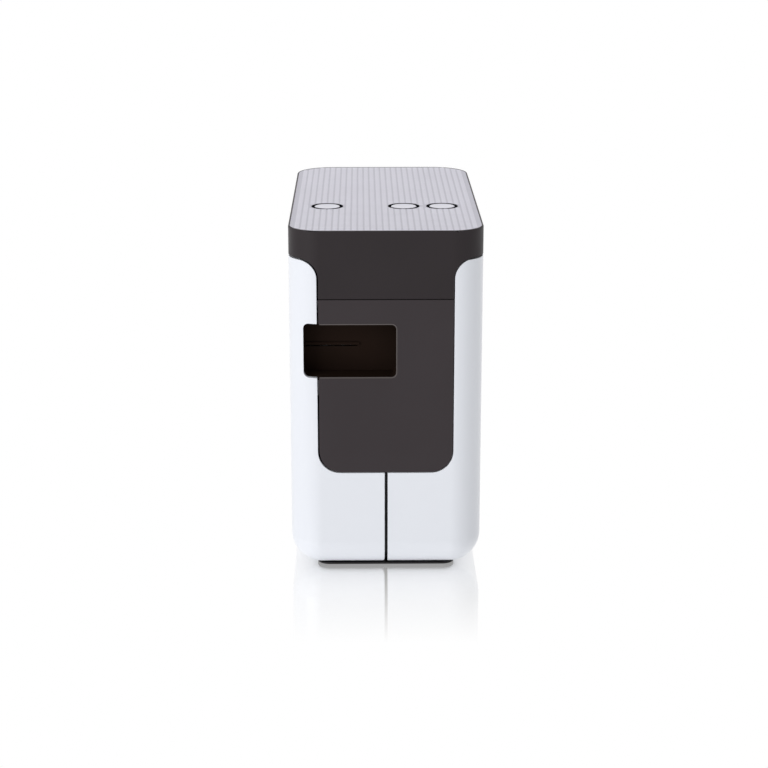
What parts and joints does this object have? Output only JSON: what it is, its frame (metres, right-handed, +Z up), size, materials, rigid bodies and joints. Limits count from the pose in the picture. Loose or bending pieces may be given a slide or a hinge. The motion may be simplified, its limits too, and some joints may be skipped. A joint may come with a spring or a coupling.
{
  "type": "label maker",
  "caption": "Upright desktop label printer with a side door over its tape bay, three top buttons, a front label exit, a gear-driven feed and a swinging cutter.",
  "frame": {"origin": "centre of the footprint at the feet's underside", "axes": "+Z up, the front with the label exit faces -Y, +X to the right seen from the front"},
  "size_m": [0.078, 0.152, 0.143],
  "materials": {
    "white_shell": "satin",
    "charcoal": "fine matte",
    "silver_plate": "fine textured",
    "black_plastic": "matte",
    "grey_plastic": "matte",
    "white_plastic": "matte gear plastic",
    "tape_plastic": "satin",
    "steel": "brushed",
    "aluminium": "satin",
    "brass": "polished",
    "rubber": "matte",
    "board": "solder mask",
    "paper": "matte",
    "film": "glossy",
    "cell": "satin wrap"
  },
  "bodies": {
    "housing": {"main_shell": "white_shell", "top_band": "charcoal", "top_plate": "silver_plate", "front_panel": "charcoal", "rear_panel": "charcoal", "exit_chute": "black_plastic", "base_plate": "black_plastic", "rubber_feet": "rubber", "battery_tray": "black_plastic", "batteries": "cell", "battery_contacts": "steel", "main_frame": "grey_plastic", "frame_pins": "steel", "cassette_bay": "black_plastic", "cassette_case": "tape_plastic", "cassette_lid": "tape_plastic", "label_tape": "paper", "heat_sink": "aluminium", "print_head": "white_plastic", "head_cable": "white_plastic", "holder_spring": "steel", "feed_motor": "steel", "motor_bracket": "steel", "cutter_frame": "steel", "fixed_blade": "steel", "cutter_gearmotor": "black_plastic", "button_board": "board", "tact_switches": "black_plastic", "main_board": "board", "board_components": "black_plastic", "usb_port": "steel", "dc_jack": "black_plastic", "hinge_pin": "steel", "screws": "steel"},
    "side_door": {"door_shell": "white_shell", "door_liner": "black_plastic", "door_latch": "black_plastic"},
    "battery_door": {"battery_cover": "black_plastic"},
    "power_key": {"power_button": "silver_plate"},
    "editor_key": {"editor_button": "silver_plate"},
    "feed_key": {"feed_button": "silver_plate"},
    "platen_arm": {"platen_holder": "black_plastic"},
    "platen": {"platen_roller": "rubber", "platen_gear": "white_plastic"},
    "pinch": {"pinch_roller": "rubber", "pinch_gear": "white_plastic"},
    "idler": {"platen_idler": "white_plastic"},
    "drive": {"feed_drive_gear": "white_plastic"},
    "feed": {"feed_spindle": "white_plastic", "cassette_feed_roller": "rubber", "pinch_drive_gear": "white_plastic"},
    "takeup": {"ribbon_spindle": "white_plastic", "ribbon_takeup_reel": "film"},
    "reduction": {"reduction_gear": "white_plastic"},
    "motor": {"motor_pinion": "brass"},
    "tape_supply": {"tape_reel": "paper"},
    "film_supply": {"film_reel": "film"},
    "ribbon_supply": {"ribbon_reel": "film"},
    "blade": {"cutter_blade": "steel"},
    "blade_pinion": {"cutter_pinion": "white_plastic"}
  },
  "joints": [
    {"name": "side_door_hinge", "type": "hinge", "parent": "housing", "child": "side_door", "pos_m": [-0.035, 0.056, 0.06], "axis": [0, 0, -1], "range_deg": [0, 90]},
    {"name": "battery_door_hinge", "type": "hinge", "parent": "housing", "child": "battery_door", "pos_m": [0, -0.0534, 0.0013], "axis": [-1, 0, 0], "range_deg": [0, 90]},
    {"name": "power_press", "type": "slide", "parent": "housing", "child": "power_key", "axis": [0, 0, -1], "range_m": [0, 0.0008], "stiffness_N_per_m": 400, "springref_m": -0.0004},
    {"name": "editor_press", "type": "slide", "parent": "housing", "child": "editor_key", "axis": [0, 0, -1], "range_m": [0, 0.0008], "stiffness_N_per_m": 400, "springref_m": -0.0004},
    {"name": "feed_press", "type": "slide", "parent": "housing", "child": "feed_key", "axis": [0, 0, -1], "range_m": [0, 0.0008], "stiffness_N_per_m": 400, "springref_m": -0.0004},
    {"name": "platen_arm_lift", "type": "hinge", "parent": "housing", "child": "platen_arm", "pos_m": [-0.02, 0.012, 0.104], "axis": [-1, 0, 0], "range_deg": [0, 6]},
    {"name": "takeup_spin", "type": "hinge", "parent": "housing", "child": "takeup", "pos_m": [-0.02, -0.02194, 0.074], "axis": [1, 0, 0], "continuous": true},
    {"name": "drive_spin", "type": "hinge", "parent": "housing", "child": "drive", "pos_m": [0, -0.038, 0.08525], "axis": [1, 0, 0], "continuous": true},
    {"name": "feed_spin", "type": "hinge", "parent": "housing", "child": "feed", "pos_m": [-0.02, -0.05, 0.0897], "axis": [1, 0, 0], "continuous": true},
    {"name": "platen_spin", "type": "hinge", "parent": "platen_arm", "child": "platen", "pos_m": [-0.02, -0.038, 0.09905], "axis": [1, 0, 0], "continuous": true},
    {"name": "pinch_spin", "type": "hinge", "parent": "platen_arm", "child": "pinch", "pos_m": [-0.02, -0.05, 0.0977], "axis": [1, 0, 0], "continuous": true},
    {"name": "idler_spin", "type": "hinge", "parent": "platen_arm", "child": "idler", "pos_m": [-0.007, -0.04587, 0.10455], "axis": [1, 0, 0], "continuous": true},
    {"name": "reduction_spin", "type": "hinge", "parent": "housing", "child": "reduction", "pos_m": [0.002, -0.0442, 0.07451], "axis": [1, 0, 0], "continuous": true},
    {"name": "motor_spin", "type": "hinge", "parent": "housing", "child": "motor", "pos_m": [0.004, -0.041, 0.05639], "axis": [1, 0, 0], "continuous": true},
    {"name": "tape_reel_spin", "type": "hinge", "parent": "housing", "child": "tape_supply", "pos_m": [-0.02, 0.003, 0.05], "axis": [1, 0, 0], "continuous": true},
    {"name": "film_reel_spin", "type": "hinge", "parent": "housing", "child": "film_supply", "pos_m": [-0.02, -0.036, 0.0385], "axis": [1, 0, 0], "continuous": true},
    {"name": "ribbon_reel_spin", "type": "hinge", "parent": "housing", "child": "ribbon_supply", "pos_m": [-0.02, 0.012, 0.084], "axis": [1, 0, 0], "continuous": true},
    {"name": "blade_swing", "type": "hinge", "parent": "housing", "child": "blade", "pos_m": [0.002, -0.059, 0.091], "axis": [0, -1, 0], "range_deg": [0, 22.5]},
    {"name": "blade_pinion_turn", "type": "hinge", "parent": "housing", "child": "blade_pinion", "pos_m": [0.0214, -0.059, 0.0798], "axis": [0, -1, 0], "range_deg": [-84, 2]}
  ],
  "couplings": [
    {"joint": "drive_spin", "follows": "takeup_spin", "ratio": -1.5789},
    {"joint": "feed_spin", "follows": "takeup_spin", "ratio": 2.3077},
    {"joint": "platen_spin", "follows": "takeup_spin", "ratio": -1.6484},
    {"joint": "pinch_spin", "follows": "takeup_spin", "ratio": -2.3077},
    {"joint": "idler_spin", "follows": "takeup_spin", "ratio": 2.3077},
    {"joint": "reduction_spin", "follows": "takeup_spin", "ratio": 2.5},
    {"joint": "motor_spin", "follows": "takeup_spin", "ratio": -9},
    {"joint": "tape_reel_spin", "follows": "takeup_spin", "ratio": 0.3864},
    {"joint": "film_reel_spin", "follows": "takeup_spin", "ratio": 0.72241},
    {"joint": "ribbon_reel_spin", "follows": "takeup_spin", "ratio": 1.1077},
    {"joint": "platen_arm_lift", "follows": "side_door_hinge", "ratio": 0.066667},
    {"joint": "blade_pinion_turn", "follows": "blade_swing", "ratio": -3.6667}
  ]
}
